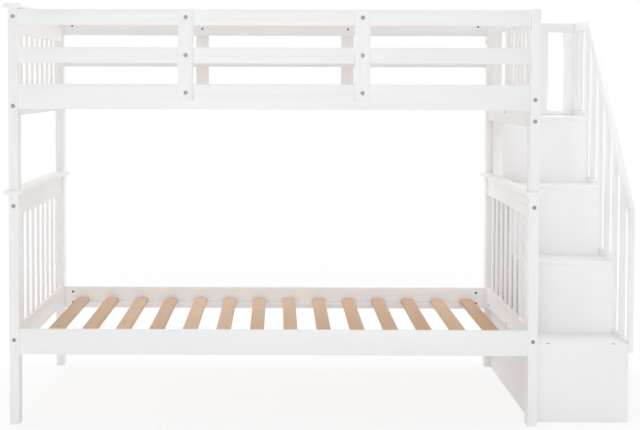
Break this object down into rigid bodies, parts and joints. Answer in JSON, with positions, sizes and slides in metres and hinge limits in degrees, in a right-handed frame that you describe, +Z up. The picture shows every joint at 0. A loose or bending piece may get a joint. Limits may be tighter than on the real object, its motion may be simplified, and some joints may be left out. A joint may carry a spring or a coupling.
{
  "type": "bunk bed with storage stairs",
  "caption": "White twin-over-twin bunk bed with slatted ends, guard boards, natural wood mattress slats and a storage staircase with handrail at one end.",
  "frame": {"origin": "middle of the footprint of the whole bed and staircase, on the floor", "axes": "+X along the bed towards the staircase, +Y from the front to the back, +Z up"},
  "size_m": [2.4066, 1.074, 1.606],
  "materials": {
    "white_paint": "satin white paint over solid softwood",
    "white_board": "satin white paint over furniture board",
    "slat_wood": "planed unpainted softwood",
    "dowel_wood": "turned beech",
    "steel_fastener": "zinc-plated steel"
  },
  "bodies": {
    "root": {"back_guard_foot_rail": "white_paint", "back_guard_stiles": "white_paint", "back_guard_top_rail": "white_paint", "barrel_nuts": "steel_fastener", "bed_slats_lower": "slat_wood", "bed_slats_upper": "slat_wood", "cap_lower_left": "white_paint", "cap_lower_right": "white_paint", "cap_upper_left": "white_paint", "cleat_bolts": "steel_fastener", "cleats": "white_paint", "dowels": "dowel_wood", "end_lower_left_foot_rail": "white_paint", "end_lower_left_spindles": "white_paint", "end_lower_left_top_rail": "white_paint", "end_lower_right_foot_rail": "white_paint", "end_lower_right_spindles": "white_paint", "end_lower_right_top_rail": "white_paint", "end_upper_left_panel": "white_paint", "end_upper_left_rail": "white_paint", "end_upper_left_spindles": "white_paint", "end_upper_right_rail": "white_paint", "frame_bolts": "steel_fastener", "guard_board_middle_back": "white_paint", "guard_board_middle_front": "white_paint", "guard_board_top_back": "white_paint", "guard_board_top_front": "white_paint", "half_guard_end_stile": "white_paint", "half_guard_front_stile": "white_paint", "half_guard_rails": "white_paint", "half_guard_spindles": "white_paint", "post_lower_back_left": "white_paint", "post_lower_back_right": "white_paint", "post_lower_front_left": "white_paint", "post_lower_front_right": "white_paint", "post_upper_back_left": "white_paint", "post_upper_back_right": "white_paint", "post_upper_front_left": "white_paint", "post_upper_front_right": "white_paint", "screws": "steel_fastener", "side_guard_balusters": "white_paint", "side_guard_foot_rails": "white_paint", "side_guard_handrail": "white_paint", "side_guard_newel": "white_paint", "side_guard_top_rail": "white_paint", "side_rail_lower_back": "white_paint", "side_rail_lower_front": "white_paint", "side_rail_upper_back": "white_paint", "side_rail_upper_front": "white_paint", "slat_ledges": "white_paint", "stair_back": "white_board", "stair_face_rails": "white_board", "stair_face_stiles": "white_board", "stair_inner_side": "white_board", "stair_landing": "white_board", "stair_risers": "white_board", "stair_shelves": "white_board", "stair_treads": "white_board", "tie_bolts": "steel_fastener"}
  },
  "joints": []
}
